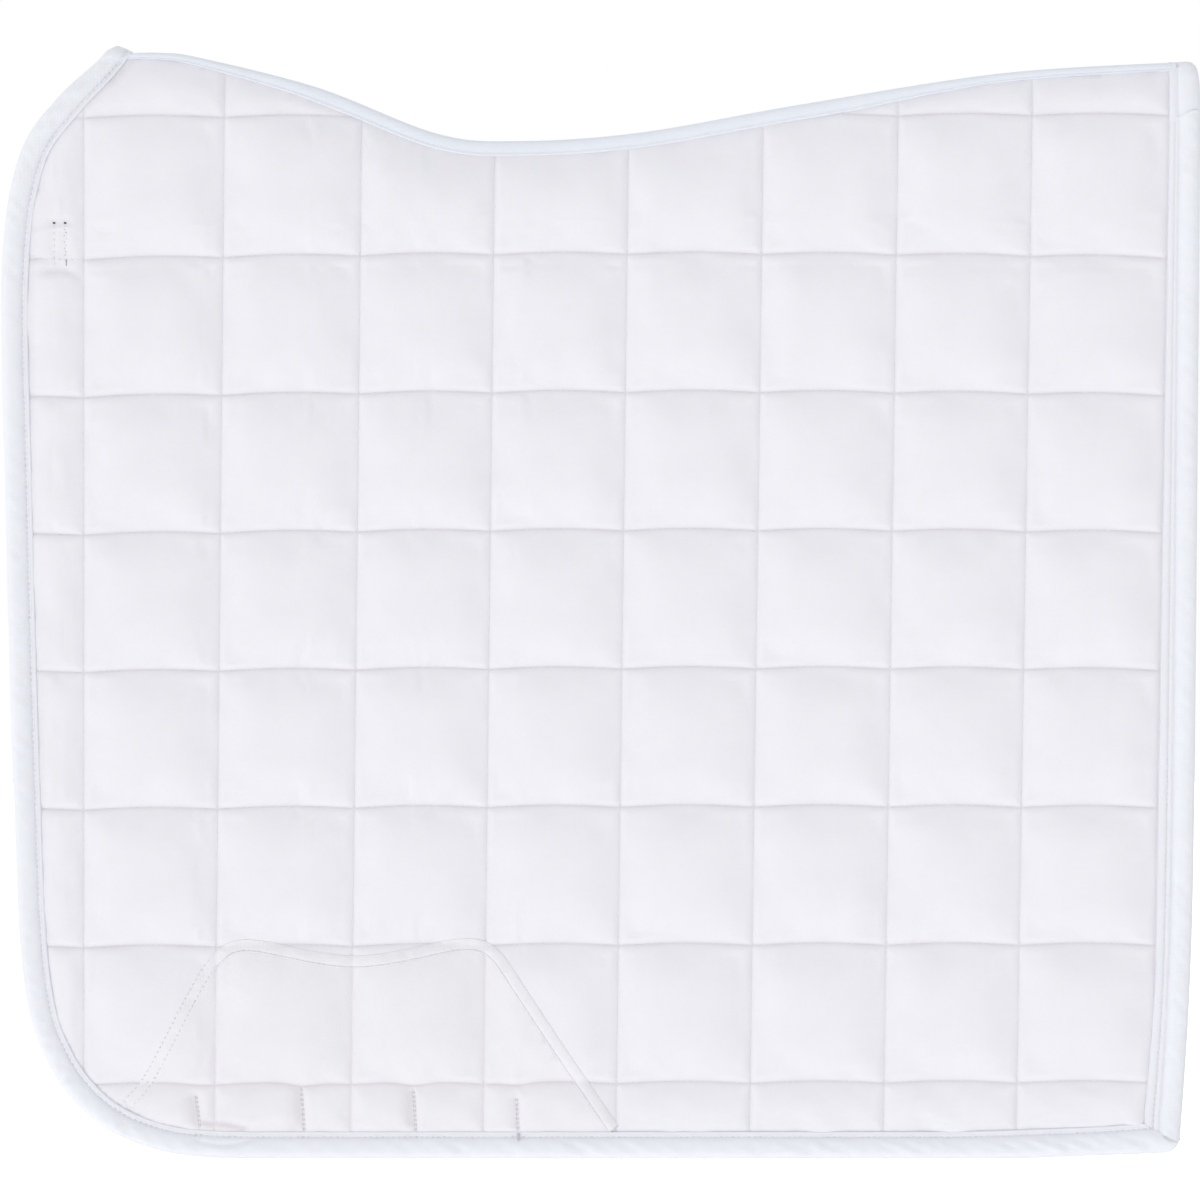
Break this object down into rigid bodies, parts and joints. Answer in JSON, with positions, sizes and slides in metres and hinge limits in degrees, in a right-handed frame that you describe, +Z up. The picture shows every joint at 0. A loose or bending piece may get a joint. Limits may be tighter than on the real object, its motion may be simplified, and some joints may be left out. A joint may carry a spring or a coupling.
{
  "type": "saddle pad",
  "caption": "Quilted dressage saddle pad with contoured spine, bound edges, girth patches, inner girth loops and strap keepers, folded flat along its spine.",
  "frame": {"origin": "centre of the folded pad's footprint, level with its lowest edge", "axes": "+Z up with the fold on top, -X towards the horse's withers, +X towards its rump, left half on -Y and right half on +Y"},
  "size_m": [0.616, 0.03, 0.572],
  "materials": {
    "panel_cotton": "quilted cotton, matt, faint cool tint",
    "wadding": "polyester wadding, matt",
    "lining_cotton": "quilted cotton, matt",
    "patch_cotton": "smooth cotton, matt",
    "trim_tape": "woven tape, matt",
    "binding_tape": "woven binding tape, slight sheen",
    "webbing": "ribbed cotton webbing, matt",
    "stitching": "cotton thread, slight sheen"
  },
  "bodies": {
    "spine": {"spine_tape": "binding_tape", "spine_lining_tape": "binding_tape", "front_binding_cap": "binding_tape", "rear_binding_cap": "binding_tape"},
    "left_half": {"left_outer_panel": "panel_cotton", "left_wadding": "wadding", "left_lining": "lining_cotton", "left_girth_patch": "patch_cotton", "left_patch_trim": "trim_tape", "left_edge_binding": "binding_tape", "left_girth_webbing": "webbing", "left_strap_keeper": "webbing", "left_girth_tack_1": "stitching", "left_girth_tack_2": "stitching", "left_girth_tack_3": "stitching", "left_girth_tack_4": "stitching", "left_keeper_tack_front": "stitching", "left_keeper_tack_rear": "stitching"},
    "right_half": {"right_outer_panel": "panel_cotton", "right_wadding": "wadding", "right_lining": "lining_cotton", "right_girth_patch": "patch_cotton", "right_patch_trim": "trim_tape", "right_edge_binding": "binding_tape", "right_girth_webbing": "webbing", "right_strap_keeper": "webbing", "right_girth_tack_1": "stitching", "right_girth_tack_2": "stitching", "right_girth_tack_3": "stitching", "right_girth_tack_4": "stitching", "right_keeper_tack_front": "stitching", "right_keeper_tack_rear": "stitching"}
  },
  "joints": [
    {"name": "left_fold", "type": "hinge", "parent": "spine", "child": "left_half", "pos_m": [0, 0, 0.572], "axis": [-1, 0, 0], "range_deg": [0, 50], "stiffness_Nm_per_rad": 0.05},
    {"name": "right_fold", "type": "hinge", "parent": "spine", "child": "right_half", "pos_m": [0, 0, 0.572], "axis": [1, 0, 0], "range_deg": [0, 50], "stiffness_Nm_per_rad": 0.05}
  ]
}
